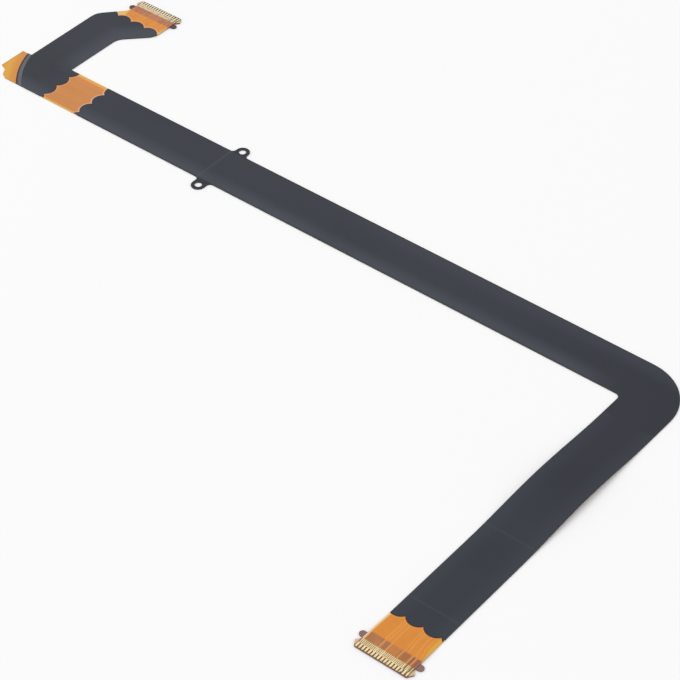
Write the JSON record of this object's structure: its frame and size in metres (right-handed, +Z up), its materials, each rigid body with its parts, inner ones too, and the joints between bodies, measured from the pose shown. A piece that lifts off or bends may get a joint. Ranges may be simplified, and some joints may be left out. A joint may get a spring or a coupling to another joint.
{
  "type": "flat flex cable",
  "caption": "Flat flexible printed cable with a long arm, an elbow and a jogged branch, staggered gold contacts at both ends and two locating ears.",
  "frame": {"origin": "midway between the centres of the two locating holes, on the underside of the base film, which is the plane the cable lies on", "axes": "+X along the long arm from the branch to the elbow, +Y along the branch towards the far contacts, +Z up, the side the contacts face"},
  "size_m": [0.1598, 0.1084, 0.001],
  "materials": {
    "base_film": "amber polyimide film, satin",
    "coverlay": "amber polyimide coverlay, glossy",
    "shield_film": "blue-black satin film",
    "stiffener": "dark brown polyimide, satin",
    "plated_copper": "gold-plated copper, satin"
  },
  "bodies": {
    "root": {"base_film": "base_film", "coverlay": "coverlay", "arm_shield_film": "shield_film", "branch_shield_film": "shield_film", "stiffener_near": "stiffener", "stiffener_far": "stiffener", "power_track": "plated_copper", "ground_track": "plated_copper", "signal_track_01": "plated_copper", "signal_track_02": "plated_copper", "signal_track_03": "plated_copper", "signal_track_04": "plated_copper", "signal_track_05": "plated_copper", "signal_track_06": "plated_copper", "signal_track_07": "plated_copper", "signal_track_08": "plated_copper", "signal_track_09": "plated_copper", "signal_track_10": "plated_copper", "signal_track_11": "plated_copper", "signal_track_12": "plated_copper", "signal_track_13": "plated_copper", "signal_track_14": "plated_copper"}
  },
  "joints": []
}
